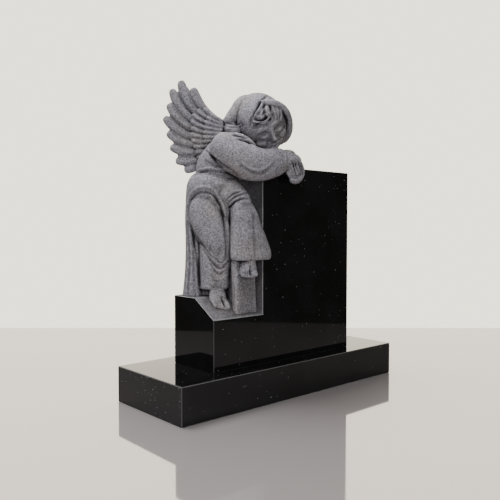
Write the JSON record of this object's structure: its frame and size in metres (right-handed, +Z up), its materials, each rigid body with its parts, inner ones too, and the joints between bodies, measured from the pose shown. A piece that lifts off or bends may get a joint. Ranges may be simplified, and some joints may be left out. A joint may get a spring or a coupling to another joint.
{
  "type": "angel headstone",
  "caption": "Stepped polished granite headstone on a base slab, with a winged child angel carved on the low side, leaning on the tall side with folded arms.",
  "frame": {"origin": "middle of the base's underside", "axes": "+X along the front, from the angel towards the tall tablet; +Y from the front to the back; +Z up"},
  "size_m": [0.85, 0.305, 0.9039],
  "materials": {
    "polished_granite": "mirror-polished black granite with sparse pale flecks",
    "carved_granite": "the same granite left as carved, matt grey with a fine speckle; the tablet's straight faces are polished black"
  },
  "bodies": {
    "root": {"base": "polished_granite", "headstone": "carved_granite"}
  },
  "joints": []
}
